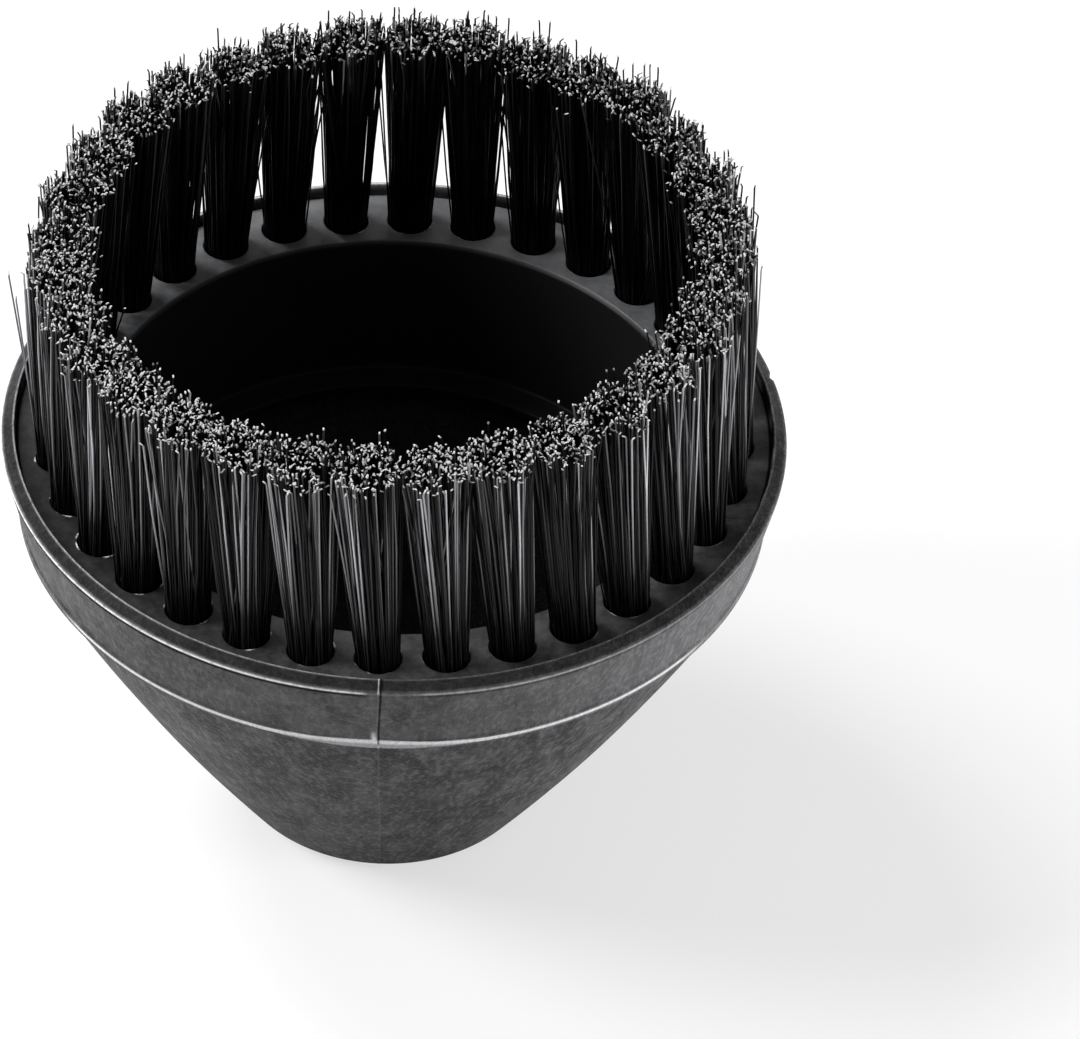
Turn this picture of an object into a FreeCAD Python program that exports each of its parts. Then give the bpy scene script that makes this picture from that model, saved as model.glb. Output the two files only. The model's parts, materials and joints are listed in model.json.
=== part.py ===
import FreeCAD, Part
import math
import os
import random

# A round dusting brush for a vacuum cleaner, standing on its socket end with the bristles up.
# The origin is the middle of the socket end's flat face, and +Z is the axis of the brush.
# All sizes are in millimetres.

# Sizes of the bell-shaped body
RIM_RADIUS = 47.5
BODY_HEIGHT = 57.0
LIP_WIDTH = 1.7
LIP_DROP = 1.2
BAND_HEIGHT = 9.1
BAND_TAPER = 2.1
STEP_HEIGHT = 1.3
STEP_PROUD = 0.3
BELL_WALL = 2.2
CONE_BULGE = 0.96

# Sizes of the socket that takes the end of the tube
SOCKET_RADIUS = 16.0
SOCKET_END_WALL = 2.4
SOCKET_END_ROUND = 3.0
SOCKET_LEAD_IN = 0.3
SLEEVE_HEIGHT = 29.0
SLEEVE_WALL = 1.9
STOP_WIDTH = 1.0
STOP_HEIGHT = 2.0
TROUGH_FOOT_WIDTH = 2.4

# Sizes of the ring that carries the bristles
RING_SINK = 1.6
RING_WIDTH = 9.75
RING_THICKNESS = 8.0
RING_CLEARANCE = 0.1
RING_EDGE_CHAMFER = 0.5
SKIRT_DEPTH = 12.8
SKIRT_WALL = 1.6
SKIRT_CLEARANCE = 0.4
FLANGE_WIDTH = 3.2
FLANGE_THICKNESS = 1.5
FLANGE_SLOPE = 0.5

# Sizes of the tufts, their holes and their wire anchors
TUFT_SPACING = 7.97
TUFT_ROOT_RADIUS = 2.7
TUFT_HOLE_CLEARANCE = 0.08
TUFT_HOLE_DEPTH = 6.2
INNER_LAND = 1.85
TUFT_FREE_LENGTH = 28.9
TIP_LEAN = 1.0
TIP_SPREAD = 3.9
TIP_GAP = 0.3
TIP_UNEVENNESS = 1.1
ANCHOR_HEIGHT = 1.3
ANCHOR_THICKNESS = 0.4
ANCHOR_CLEARANCE = 0.05
ANCHOR_LIFT = 0.7

# Make of a tuft's surface: how many locks show round it, and how deep the grooves between them are
TUFT_LOCKS = 12
GROOVE_SHARE = 0.86
GROOVE_NOTCH = 1.4
CROWN_SHARE = 0.5

# Levels worked out from the sizes above
LIP_EDGE_Z = BODY_HEIGHT - LIP_DROP
BAND_FOOT_Z = LIP_EDGE_Z - BAND_HEIGHT
STEP_FOOT_Z = BAND_FOOT_Z - STEP_HEIGHT
RING_TOP_Z = BODY_HEIGHT - RING_SINK
RING_SEAT_Z = RING_TOP_Z - RING_THICKNESS
SKIRT_FOOT_Z = RING_SEAT_Z - SKIRT_DEPTH
HOLE_FLOOR_Z = RING_TOP_Z - TUFT_HOLE_DEPTH

# Radii worked out from the sizes above
LIP_INNER_RADIUS = RIM_RADIUS - LIP_WIDTH
BAND_FOOT_RADIUS = RIM_RADIUS - BAND_TAPER
STEP_RADIUS = BAND_FOOT_RADIUS + STEP_PROUD
CONE_TOP_RADIUS = BAND_FOOT_RADIUS - STEP_PROUD
SOCKET_END_RADIUS = SOCKET_RADIUS + SOCKET_END_WALL
SLEEVE_RADIUS = SOCKET_RADIUS + SLEEVE_WALL
STOP_RADIUS = SOCKET_RADIUS - STOP_WIDTH
RING_INNER_RADIUS = LIP_INNER_RADIUS - RING_WIDTH
HOLE_RADIUS = TUFT_ROOT_RADIUS + TUFT_HOLE_CLEARANCE
TUFT_CIRCLE_RADIUS = RING_INNER_RADIUS + INNER_LAND + HOLE_RADIUS

TUFT_COUNT = int(round(2 * math.pi * TUFT_CIRCLE_RADIUS / TUFT_SPACING))
TUFT_ANGLE = 2 * math.pi / TUFT_COUNT
TIP_CIRCLE_RADIUS = TUFT_CIRCLE_RADIUS - TIP_LEAN
TIP_HALF_PITCH = TIP_CIRCLE_RADIUS * math.tan(TUFT_ANGLE / 2) - TIP_GAP / 2

AXIS = FreeCAD.Vector(0, 0, 1)
ORIGIN = FreeCAD.Vector(0, 0, 0)


def section_point(radius, height):
    """A point of a section, which lies in the XZ plane and is turned round the Z axis."""
    return FreeCAD.Vector(radius, 0, height)


def straight(start, end):
    """A straight edge between two section points."""
    return Part.LineSegment(start, end).toShape()


def arc(start, middle, end):
    """An arc through three section points."""
    return Part.Arc(start, middle, end).toShape()


def turned(edges):
    """The solid made by turning a closed section once round the axis."""
    return Part.Face(Part.Wire(edges)).revolve(ORIGIN, AXIS, 360)


class ConeArc:
    """The long outward bulge of the cone's side, as one arc from the step down to the socket's flat end."""

    def __init__(self):
        top = section_point(CONE_TOP_RADIUS, STEP_FOOT_Z)
        foot = section_point(SOCKET_END_RADIUS, 0)
        chord = top.sub(foot)
        outward = FreeCAD.Vector(chord.z, 0, -chord.x).normalize()
        self.radius = chord.Length ** 2 / (8 * CONE_BULGE) + CONE_BULGE / 2
        middle = foot.add(chord.multiply(0.5))
        self.centre = middle.add(FreeCAD.Vector(outward).multiply(CONE_BULGE - self.radius))

    def side_radius(self, height, inset=0.0):
        """The distance from the axis to the side at a height, taken inwards by a wall."""
        rise = height - self.centre.z
        return self.centre.x + math.sqrt((self.radius - inset) ** 2 - rise ** 2)

    def side_height(self, radius, inset=0.0):
        """The height at which the side, taken inwards by a wall, has this distance from the axis."""
        run = radius - self.centre.x
        return self.centre.z - math.sqrt((self.radius - inset) ** 2 - run ** 2)

    def edge(self, low, high, inset=0.0):
        """The stretch of the side between two heights."""
        levels = (low, (low + high) / 2, high)
        points = [section_point(self.side_radius(level, inset), level) for level in levels]
        return arc(*points)

    def end_round(self):
        """Three points of the round that leads from the side to the flat end without a corner at either."""
        middle = section_point(self.side_radius(SOCKET_END_ROUND, SOCKET_END_ROUND), SOCKET_END_ROUND)
        to_side = middle.sub(self.centre).normalize()
        to_bend = FreeCAD.Vector(to_side).sub(AXIS).normalize()
        side = middle.add(to_side.multiply(SOCKET_END_ROUND))
        bend = middle.add(to_bend.multiply(SOCKET_END_ROUND))
        return side, bend, section_point(middle.x, 0)


def band_radius(height):
    """The outer radius of the tapered band at a height."""
    return RIM_RADIUS - BAND_TAPER * (LIP_EDGE_Z - height) / BAND_HEIGHT


def mouth_radius(height):
    """The inner radius of the mouth, which follows the band's taper below the lip."""
    return band_radius(min(height, LIP_EDGE_Z)) - LIP_WIDTH


def outer_edges(cone):
    """The body's outside, from the lip's inner edge down to the socket's lead-in."""
    lip_inner = section_point(LIP_INNER_RADIUS, BODY_HEIGHT)
    lip_outer = section_point(RIM_RADIUS, LIP_EDGE_Z)
    band_foot = section_point(BAND_FOOT_RADIUS, BAND_FOOT_Z)
    step_top = section_point(STEP_RADIUS, BAND_FOOT_Z - STEP_PROUD)
    step_foot = section_point(STEP_RADIUS, STEP_FOOT_Z)
    cone_top = section_point(CONE_TOP_RADIUS, STEP_FOOT_Z)
    end_side, end_bend, end_flat = cone.end_round()
    lead_in = section_point(SOCKET_RADIUS + SOCKET_LEAD_IN, 0)
    return [
        straight(lip_inner, lip_outer),
        straight(lip_outer, band_foot),
        straight(band_foot, step_top),
        straight(step_top, step_foot),
        straight(step_foot, cone_top),
        cone.edge(end_side.z, STEP_FOOT_Z),
        arc(end_side, end_bend, end_flat),
        straight(end_flat, lead_in),
    ]


def inner_edges(cone):
    """The body's inside, from the socket's lead-in up over the sleeve to the lip's inner edge."""
    stop_z = SLEEVE_HEIGHT - STOP_HEIGHT
    trough_radius = SLEEVE_RADIUS + TROUGH_FOOT_WIDTH
    trough_z = cone.side_height(trough_radius, BELL_WALL)
    wall_top_radius = cone.side_radius(STEP_FOOT_Z, BELL_WALL)
    path = [
        section_point(SOCKET_RADIUS + SOCKET_LEAD_IN, 0),
        section_point(SOCKET_RADIUS, SOCKET_LEAD_IN),
        section_point(SOCKET_RADIUS, stop_z),
        section_point(STOP_RADIUS, stop_z),
        section_point(STOP_RADIUS, SLEEVE_HEIGHT),
        section_point(SLEEVE_RADIUS, SLEEVE_HEIGHT),
        section_point(SLEEVE_RADIUS, trough_z),
        section_point(trough_radius, trough_z),
    ]
    climb = [
        section_point(wall_top_radius, STEP_FOOT_Z),
        section_point(wall_top_radius, RING_SEAT_Z),
        section_point(mouth_radius(RING_SEAT_Z), RING_SEAT_Z),
        section_point(mouth_radius(LIP_EDGE_Z), LIP_EDGE_Z),
        section_point(LIP_INNER_RADIUS, BODY_HEIGHT),
    ]
    edges = [straight(a, b) for a, b in zip(path, path[1:])]
    edges.append(cone.edge(trough_z, STEP_FOOT_Z, BELL_WALL))
    edges.extend(straight(a, b) for a, b in zip(climb, climb[1:]))
    return edges


def make_body(cone):
    """The one-piece bell: lip, band, step, cone, and the sleeve that stands up inside it."""
    return turned(outer_edges(cone) + inner_edges(cone))


def make_bristle_ring(cone):
    """The ring that fills the bell's mouth, with its skirt, its turned-in foot and its blind holes."""
    foot_radius = cone.side_radius(SKIRT_FOOT_Z, BELL_WALL) - SKIRT_CLEARANCE
    foot_inner_radius = foot_radius - SKIRT_WALL
    foot_top_z = SKIRT_FOOT_Z + FLANGE_THICKNESS
    flange_radius = foot_inner_radius - FLANGE_WIDTH
    corners = [
        section_point(RING_INNER_RADIUS + RING_EDGE_CHAMFER, RING_TOP_Z),
        section_point(mouth_radius(RING_TOP_Z) - RING_CLEARANCE, RING_TOP_Z),
        section_point(mouth_radius(RING_SEAT_Z) - RING_CLEARANCE, RING_SEAT_Z),
        section_point(RING_INNER_RADIUS + SKIRT_WALL, RING_SEAT_Z),
        section_point(foot_radius, SKIRT_FOOT_Z),
        section_point(flange_radius, SKIRT_FOOT_Z),
        section_point(flange_radius, foot_top_z - FLANGE_SLOPE),
        section_point(foot_inner_radius, foot_top_z),
        section_point(RING_INNER_RADIUS, RING_TOP_Z - RING_EDGE_CHAMFER),
    ]
    ring = turned([straight(a, b) for a, b in zip(corners, corners[1:] + corners[:1])])
    hole = Part.makeCylinder(HOLE_RADIUS, TUFT_HOLE_DEPTH)
    holes = [placed_at_tuft(hole, index) for index in range(TUFT_COUNT)]
    return ring.cut(Part.makeCompound(holes))


def placed_at_tuft(shape, index):
    """A copy of a shape made at the origin, stood on the floor of one of the holes.

    The first hole is at the front, towards -Y, and the rest follow anticlockwise.
    """
    copy = shape.copy()
    copy.translate(FreeCAD.Vector(0, -TUFT_CIRCLE_RADIUS, HOLE_FLOOR_Z))
    copy.rotate(ORIGIN, AXIS, math.degrees(index * TUFT_ANGLE))
    return copy


def lock_ring(across, along, heights, deep=1.0, lean=0.0):
    """A closed row of points round a tuft, alternately on a lock and in the groove beside it."""
    points = []
    for number, height in enumerate(heights):
        angle = 2 * math.pi * number / len(heights)
        reach = deep if number % 2 else 1.0
        x = across * reach * math.cos(angle)
        y = lean + along * reach * math.sin(angle)
        points.append(FreeCAD.Vector(x, y, height))
    return points


def facet(*points):
    """A flat face with straight edges."""
    return Part.Face(Part.makePolygon(list(points) + [points[0]]))


def facets_between(lower, upper):
    """Triangles that join two closed rows of points with the same number of points."""
    faces = []
    for number in range(len(lower)):
        following = (number + 1) % len(lower)
        faces.append(facet(lower[number], lower[following], upper[number]))
        faces.append(facet(lower[following], upper[following], upper[number]))
    return faces


def make_tuft(index):
    """A bundle of bristles that is round in its hole and flares to grooved, uneven locks at the tips.

    It stands on the floor of its hole, folded round its anchor, which passes through it. Above the hole it
    leans towards the brush's axis.
    """
    chance = random.Random(index)
    sides = 2 * TUFT_LOCKS
    tip_z = TUFT_HOLE_DEPTH + TUFT_FREE_LENGTH

    def uneven(share, drop=0.0):
        return tip_z - drop + share * TIP_UNEVENNESS * chance.uniform(-1, 1)

    foot = lock_ring(TUFT_ROOT_RADIUS, TUFT_ROOT_RADIUS, [0.0] * sides)
    mouth = lock_ring(TUFT_ROOT_RADIUS, TUFT_ROOT_RADIUS, [TUFT_HOLE_DEPTH] * sides)
    tip_heights = [uneven(1.0, GROOVE_NOTCH * (number % 2)) for number in range(sides)]
    tips = lock_ring(TIP_HALF_PITCH, TIP_SPREAD, tip_heights, GROOVE_SHARE, TIP_LEAN)
    crown_heights = [uneven(0.7) for _ in range(sides)]
    crown = lock_ring(
        TIP_HALF_PITCH * CROWN_SHARE, TIP_SPREAD * CROWN_SHARE, crown_heights, lean=TIP_LEAN
    )
    top = FreeCAD.Vector(0, TIP_LEAN, uneven(0.7))
    faces = [facet(*reversed(foot))]
    for number in range(sides):
        following = (number + 1) % sides
        faces.append(facet(foot[number], foot[following], mouth[following], mouth[number]))
        faces.append(facet(crown[number], crown[following], top))
    faces.extend(facets_between(mouth, tips))
    faces.extend(facets_between(tips, crown))
    bundle = Part.Solid(Part.Shell(faces))
    return bundle.cut(anchor_bar(4 * HOLE_RADIUS, ANCHOR_CLEARANCE))


def anchor_bar(length, spare=0.0):
    """A flat bar of wire across a hole, lifted off its floor by the folded bristles below it."""
    thickness = ANCHOR_THICKNESS + 2 * spare
    bar = Part.makeBox(length, thickness, ANCHOR_HEIGHT + 2 * spare)
    bar.translate(FreeCAD.Vector(-length / 2, -thickness / 2, ANCHOR_LIFT - spare))
    return bar


def make_anchors():
    """All the wire anchors, each one as long as its hole is wide at the bar's corners."""
    reach = math.sqrt(HOLE_RADIUS ** 2 - (ANCHOR_THICKNESS / 2) ** 2)
    bar = anchor_bar(2 * reach)
    return Part.makeCompound([placed_at_tuft(bar, index) for index in range(TUFT_COUNT)])


def main():
    """Writes each piece to its own file."""
    os.makedirs("parts", exist_ok=True)
    cone = ConeArc()
    pieces = {
        "bell_body": make_body(cone),
        "bristle_ring": make_bristle_ring(cone),
        "tuft_anchors": make_anchors(),
    }
    for index in range(TUFT_COUNT):
        pieces["bristle_tuft_%02d" % (index + 1)] = placed_at_tuft(make_tuft(index), index)
    for name, shape in pieces.items():
        shape.exportStep("parts/%s.step" % name)


main()
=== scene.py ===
"""A vacuum cleaner's round dusting brush, standing on its socket end with the bristles up.

Run as a script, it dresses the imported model: the moulded bell, the ring that carries the tufts, the tufts
bristle by bristle, and the wire anchors that hold them, on a pale floor in soft light.
Lengths are in metres. Azimuths are measured from the front, towards -Y, and grow towards +X.
"""
import json
import math

import bpy
import numpy as np
from mathutils import Matrix, Vector


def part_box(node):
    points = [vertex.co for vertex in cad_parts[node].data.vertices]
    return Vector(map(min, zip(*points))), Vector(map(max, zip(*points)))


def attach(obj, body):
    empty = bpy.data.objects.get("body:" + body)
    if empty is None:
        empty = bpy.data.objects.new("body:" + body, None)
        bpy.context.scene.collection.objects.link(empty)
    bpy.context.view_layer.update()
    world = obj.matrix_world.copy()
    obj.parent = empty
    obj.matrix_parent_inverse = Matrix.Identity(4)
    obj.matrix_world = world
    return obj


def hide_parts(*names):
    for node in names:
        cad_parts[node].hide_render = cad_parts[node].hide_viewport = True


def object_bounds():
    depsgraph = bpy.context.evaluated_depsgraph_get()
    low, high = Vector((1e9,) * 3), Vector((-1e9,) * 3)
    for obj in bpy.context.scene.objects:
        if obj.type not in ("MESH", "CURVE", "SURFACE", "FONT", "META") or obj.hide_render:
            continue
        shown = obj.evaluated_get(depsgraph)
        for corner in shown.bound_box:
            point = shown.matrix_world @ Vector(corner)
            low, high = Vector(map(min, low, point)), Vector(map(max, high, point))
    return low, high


bl_info = {
    "name": "Round Dusting Brush",
    "version": (1, 0, 0),
    "blender": (4, 5, 0),
    "location": "3D View > Sidebar > Dusting Brush",
    "description": "Builds the visible surfaces, finishes and studio of a round dusting brush",
    "category": "Add Mesh",
}

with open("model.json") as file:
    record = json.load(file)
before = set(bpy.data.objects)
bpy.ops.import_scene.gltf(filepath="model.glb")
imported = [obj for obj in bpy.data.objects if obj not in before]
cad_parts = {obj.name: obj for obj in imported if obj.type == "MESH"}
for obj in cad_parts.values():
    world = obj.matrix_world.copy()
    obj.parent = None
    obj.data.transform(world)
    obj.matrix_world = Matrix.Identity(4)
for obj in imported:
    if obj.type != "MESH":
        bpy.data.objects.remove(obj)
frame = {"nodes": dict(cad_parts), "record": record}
CAD_LOW, CAD_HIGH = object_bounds()

MM = 0.001
BODY = "root"

BELL_NODE = "bell_body"
RING_NODE = "bristle_ring"
ANCHOR_NODE = "tuft_anchors"
TUFT_NODES = sorted(name for name in frame["nodes"] if name.startswith("bristle_tuft_"))
TUFT_COUNT = len(TUFT_NODES)
TUFT_ANGLE = 2 * math.pi / TUFT_COUNT

BELL_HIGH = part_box(BELL_NODE)[1]
RING_LOW, RING_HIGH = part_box(RING_NODE)
TUFT_LOW, TUFT_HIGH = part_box(TUFT_NODES[0])
ANCHOR_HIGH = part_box(ANCHOR_NODE)[1]
MOUNTS = {mount["name"]: mount for mount in frame["record"]["mounts"]}
SOCKET_RADIUS = MOUNTS["tube_socket"]["dims"]["r_mm"] * MM


class BellSizes(bpy.types.PropertyGroup):
    """Sizes of the moulded bell."""

    lip_width: bpy.props.FloatProperty(
        name="Lip width", description="Width of the lip's top", default=1.7 * MM, unit="LENGTH"
    )
    lip_drop: bpy.props.FloatProperty(
        name="Lip drop", description="Fall of the lip from its inner to its outer edge",
        default=1.2 * MM, unit="LENGTH",
    )
    band_height: bpy.props.FloatProperty(
        name="Band height", description="Height of the tapered band below the lip",
        default=9.1 * MM, unit="LENGTH",
    )
    band_taper: bpy.props.FloatProperty(
        name="Band taper", description="How much the band narrows on the way down",
        default=2.1 * MM, unit="LENGTH",
    )
    step_height: bpy.props.FloatProperty(
        name="Step height", description="Height of the small step below the band",
        default=1.3 * MM, unit="LENGTH",
    )
    step_proud: bpy.props.FloatProperty(
        name="Step proud", description="How far the step stands out of the band",
        default=0.15 * MM, unit="LENGTH",
    )
    cone_inset: bpy.props.FloatProperty(
        name="Cone inset", description="How far the cone's top lies inside the band's foot",
        default=0.3 * MM, unit="LENGTH",
    )
    wall: bpy.props.FloatProperty(
        name="Wall", description="Thickness of the cone's wall", default=2.2 * MM, unit="LENGTH"
    )
    cone_bulge: bpy.props.FloatProperty(
        name="Cone bulge", description="Outward bow of the cone's side", default=0.96 * MM, unit="LENGTH"
    )
    end_wall: bpy.props.FloatProperty(
        name="Socket end wall", description="Wall of the socket at its end", default=2.4 * MM, unit="LENGTH"
    )
    end_round: bpy.props.FloatProperty(
        name="Socket end round", description="Radius of the round at the socket's end",
        default=3.0 * MM, unit="LENGTH",
    )
    lead_in: bpy.props.FloatProperty(
        name="Lead-in", description="Bevel at the mouth of the socket", default=0.3 * MM, unit="LENGTH"
    )
    sleeve_height: bpy.props.FloatProperty(
        name="Sleeve height", description="Height of the sleeve inside the bell",
        default=29.0 * MM, unit="LENGTH",
    )
    sleeve_wall: bpy.props.FloatProperty(
        name="Sleeve wall", description="Thickness of the sleeve", default=1.9 * MM, unit="LENGTH"
    )
    stop_width: bpy.props.FloatProperty(
        name="Stop width", description="Width of the ledge that stops the tube",
        default=1.0 * MM, unit="LENGTH",
    )
    stop_height: bpy.props.FloatProperty(
        name="Stop height", description="Height of the ledge that stops the tube",
        default=2.0 * MM, unit="LENGTH",
    )
    trough_foot: bpy.props.FloatProperty(
        name="Trough foot", description="Width of the floor between sleeve and cone",
        default=2.4 * MM, unit="LENGTH",
    )
    seam_height: bpy.props.FloatProperty(
        name="Seam height", description="Height of the parting line's ridge",
        default=0.07 * MM, unit="LENGTH",
    )
    seam_azimuth: bpy.props.FloatProperty(
        name="Seam azimuth", description="Where the parting line meets the front",
        default=math.radians(0.35), subtype="ANGLE",
    )
    nick_azimuth: bpy.props.FloatProperty(
        name="Nick azimuth", description="Where the lip's outer edge is nicked",
        default=math.radians(106.0), subtype="ANGLE",
    )


class RingSizes(bpy.types.PropertyGroup):
    """Sizes of the ring that carries the tufts."""

    width: bpy.props.FloatProperty(
        name="Ring width", description="Width of the ring's top", default=9.75 * MM, unit="LENGTH"
    )
    thickness: bpy.props.FloatProperty(
        name="Ring thickness", description="Thickness where the holes are", default=8.0 * MM, unit="LENGTH"
    )
    clearance: bpy.props.FloatProperty(
        name="Ring clearance", description="Gap to the bell's mouth", default=0.1 * MM, unit="LENGTH"
    )
    edge_chamfer: bpy.props.FloatProperty(
        name="Edge chamfer", description="Bevel of the inner top edge", default=0.5 * MM, unit="LENGTH"
    )
    skirt_wall: bpy.props.FloatProperty(
        name="Skirt wall", description="Thickness of the skirt", default=1.6 * MM, unit="LENGTH"
    )
    skirt_clearance: bpy.props.FloatProperty(
        name="Skirt clearance", description="Gap from the skirt's foot to the cone",
        default=0.4 * MM, unit="LENGTH",
    )
    flange_width: bpy.props.FloatProperty(
        name="Flange width", description="Width of the skirt's turned-in foot",
        default=3.2 * MM, unit="LENGTH",
    )
    flange_thickness: bpy.props.FloatProperty(
        name="Flange thickness", description="Thickness of the turned-in foot",
        default=1.5 * MM, unit="LENGTH",
    )
    flange_slope: bpy.props.FloatProperty(
        name="Flange slope", description="Fall of the turned-in foot's top", default=0.5 * MM, unit="LENGTH"
    )
    hole_radius: bpy.props.FloatProperty(
        name="Hole radius", description="Radius of a tuft's hole", default=2.78 * MM, unit="LENGTH"
    )
    inner_land: bpy.props.FloatProperty(
        name="Inner land", description="Width left between the holes and the inner edge",
        default=1.85 * MM, unit="LENGTH",
    )
    flash_height: bpy.props.FloatProperty(
        name="Flash height", description="Height of the raised slivers round the holes",
        default=0.16 * MM, unit="LENGTH",
    )


class BristleSizes(bpy.types.PropertyGroup):
    """Sizes and scatter of the bristles."""

    count: bpy.props.IntProperty(
        name="Bristles", description="Bristles that show in each tuft", default=250, min=20
    )
    radius: bpy.props.FloatProperty(
        name="Bristle radius", description="Radius of one bristle", default=0.115 * MM, unit="LENGTH"
    )
    root_radius: bpy.props.FloatProperty(
        name="Root radius", description="Radius of a tuft in its hole", default=2.7 * MM, unit="LENGTH"
    )
    spread_across: bpy.props.FloatProperty(
        name="Spread across", description="Half width of the tips along the ring",
        default=4.3 * MM, unit="LENGTH",
    )
    spread_along: bpy.props.FloatProperty(
        name="Spread along", description="Half width of the tips towards the axis",
        default=4.25 * MM, unit="LENGTH",
    )
    lean: bpy.props.FloatProperty(
        name="Lean", description="How far the tips lean inwards", default=0.6 * MM, unit="LENGTH"
    )
    free_length: bpy.props.FloatProperty(
        name="Free length", description="Height of the tips above the ring",
        default=28.9 * MM, unit="LENGTH",
    )
    unevenness: bpy.props.FloatProperty(
        name="Unevenness", description="Spread of the tips' heights", default=0.32 * MM, unit="LENGTH"
    )
    tangle: bpy.props.FloatProperty(
        name="Tangle", description="Scatter of each tip", default=0.3 * MM, unit="LENGTH"
    )
    bow: bpy.props.FloatProperty(
        name="Bow", description="Scatter of each bristle's bend", default=0.22 * MM, unit="LENGTH"
    )
    stray_share: bpy.props.FloatProperty(
        name="Strays", description="Share of the bristles that stand away from their tuft",
        default=0.06, subtype="FACTOR",
    )


class BrushColours(bpy.types.PropertyGroup):
    """Colours of the finishes."""

    bell: bpy.props.FloatVectorProperty(
        name="Bell", description="Colour of the bell's plastic", default=(0.066, 0.066, 0.068),
        subtype="COLOR",
    )
    ring: bpy.props.FloatVectorProperty(
        name="Ring", description="Colour of the ring's plastic", default=(0.068, 0.069, 0.072),
        subtype="COLOR",
    )
    bristle: bpy.props.FloatVectorProperty(
        name="Bristle", description="Colour of the nylon", default=(0.006, 0.006, 0.0063), subtype="COLOR"
    )
    # The cut ends' colour is a painted highlight.
    cut_end: bpy.props.FloatVectorProperty(
        name="Cut end", description="Colour of a bristle's cut end", default=(0.74, 0.74, 0.74),
        subtype="COLOR",
    )
    wire: bpy.props.FloatVectorProperty(
        name="Wire", description="Colour of the anchors' wire", default=(0.55, 0.55, 0.56), subtype="COLOR"
    )
    floor: bpy.props.FloatVectorProperty(
        name="Floor", description="Colour of the floor", default=(0.95, 0.95, 0.95), subtype="COLOR"
    )


class StudioSettings(bpy.types.PropertyGroup):
    """Camera and lamps."""

    lens: bpy.props.FloatProperty(
        name="Lens", description="Focal length in millimetres", default=237.65, unit="CAMERA"
    )
    distance: bpy.props.FloatProperty(
        name="Distance", description="From the camera to the point it looks at",
        default=870.84 * MM, unit="LENGTH",
    )
    elevation: bpy.props.FloatProperty(
        name="Elevation", description="Angle of the view above the horizon",
        default=math.radians(41.332), subtype="ANGLE",
    )
    roll: bpy.props.FloatProperty(
        name="Roll", description="Turn of the camera about its view", default=math.radians(2.729),
        subtype="ANGLE",
    )
    key_power: bpy.props.FloatProperty(
        name="Key power", description="Power of the lamp at the left", default=11.0, unit="POWER"
    )
    high_power: bpy.props.FloatProperty(
        name="High power", description="Power of the higher lamp at the left and back", default=9.0,
        unit="POWER",
    )
    side_power: bpy.props.FloatProperty(
        name="Side power", description="Power of the low lamp at the right", default=8.0, unit="POWER"
    )
    world_level: bpy.props.FloatProperty(
        name="World level", description="Strength of the light from all round", default=1.4
    )


class BrushSettings(bpy.types.PropertyGroup):
    """All the settings of the brush."""

    bell: bpy.props.PointerProperty(type=BellSizes, name="Bell", description="The moulded bell")
    ring: bpy.props.PointerProperty(type=RingSizes, name="Ring", description="The ring with the holes")
    bristles: bpy.props.PointerProperty(type=BristleSizes, name="Bristles", description="The tufts")
    colours: bpy.props.PointerProperty(type=BrushColours, name="Colours", description="The finishes")
    studio: bpy.props.PointerProperty(type=StudioSettings, name="Studio", description="Camera and lamps")


# Outlines and turned surfaces

CORNER_STEPS = 5
SAME_POINT = 0.0001 * MM


def rounded(corners, radii):
    """An outline with each corner replaced by an arc of its radius, and the corner each point came from.

    An arc's centre lies on the corner's bisector, at the radius over the sine of half the corner's angle, and
    the arc meets each side at the radius over the tangent of that half angle from the corner.
    """
    radii = np.asarray(radii, float)
    before = np.roll(corners, 1, axis=0) - corners
    after = np.roll(corners, -1, axis=0) - corners
    before /= np.linalg.norm(before, axis=1, keepdims=True)
    after /= np.linalg.norm(after, axis=1, keepdims=True)
    bisector = before + after
    bisector /= np.maximum(np.linalg.norm(bisector, axis=1, keepdims=True), 1e-9)
    half = 0.5 * np.arccos(np.clip((before * after).sum(axis=1), -1, 1))
    centre = corners + bisector * (radii / np.sin(half))[:, None]
    start = before * (radii / np.tan(half))[:, None] + corners - centre
    end = after * (radii / np.tan(half))[:, None] + corners - centre
    first = np.arctan2(start[:, 1], start[:, 0])
    sweep = np.arctan2(end[:, 1], end[:, 0]) - first
    sweep = (sweep + math.pi) % (2 * math.pi) - math.pi
    angle = first[:, None] + sweep[:, None] * np.linspace(0, 1, CORNER_STEPS)
    arcs = centre[:, None] + radii[:, None, None] * np.stack([np.cos(angle), np.sin(angle)], axis=2)
    points = arcs.reshape(-1, 2)
    owner = np.repeat(np.arange(len(corners)), CORNER_STEPS)
    kept = np.linalg.norm(points - np.roll(points, 1, axis=0), axis=1) > SAME_POINT
    return points[kept], owner[kept]


def divided(outline, owner, step, closed=True):
    """An outline with evenly spaced points added on each side that is longer than its step."""
    ahead = np.roll(outline, -1, axis=0) - outline
    counts = np.maximum(1, np.ceil(np.linalg.norm(ahead, axis=1) / step)).astype(int)
    if not closed:
        counts[-1] = 1
    side = np.repeat(np.arange(len(outline)), counts)
    place = np.arange(counts.sum()) - np.repeat(np.cumsum(counts) - counts, counts)
    points = outline[side] + ahead[side] * (place / counts[side])[:, None]
    return points, owner[side]


def outward(outline):
    """The unit normal of each point of a closed outline: its tangent turned a quarter turn."""
    along = np.roll(outline, -1, axis=0) - np.roll(outline, 1, axis=0)
    normal = np.stack([-along[:, 1], along[:, 0]], axis=1)
    return normal / np.linalg.norm(normal, axis=1, keepdims=True)


def turned(radius, azimuth, height):
    """Points at a radius, azimuth and height: x = r sin a, y = -r cos a."""
    return np.stack(np.broadcast_arrays(radius * np.sin(azimuth), -radius * np.cos(azimuth), height), axis=-1)


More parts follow.
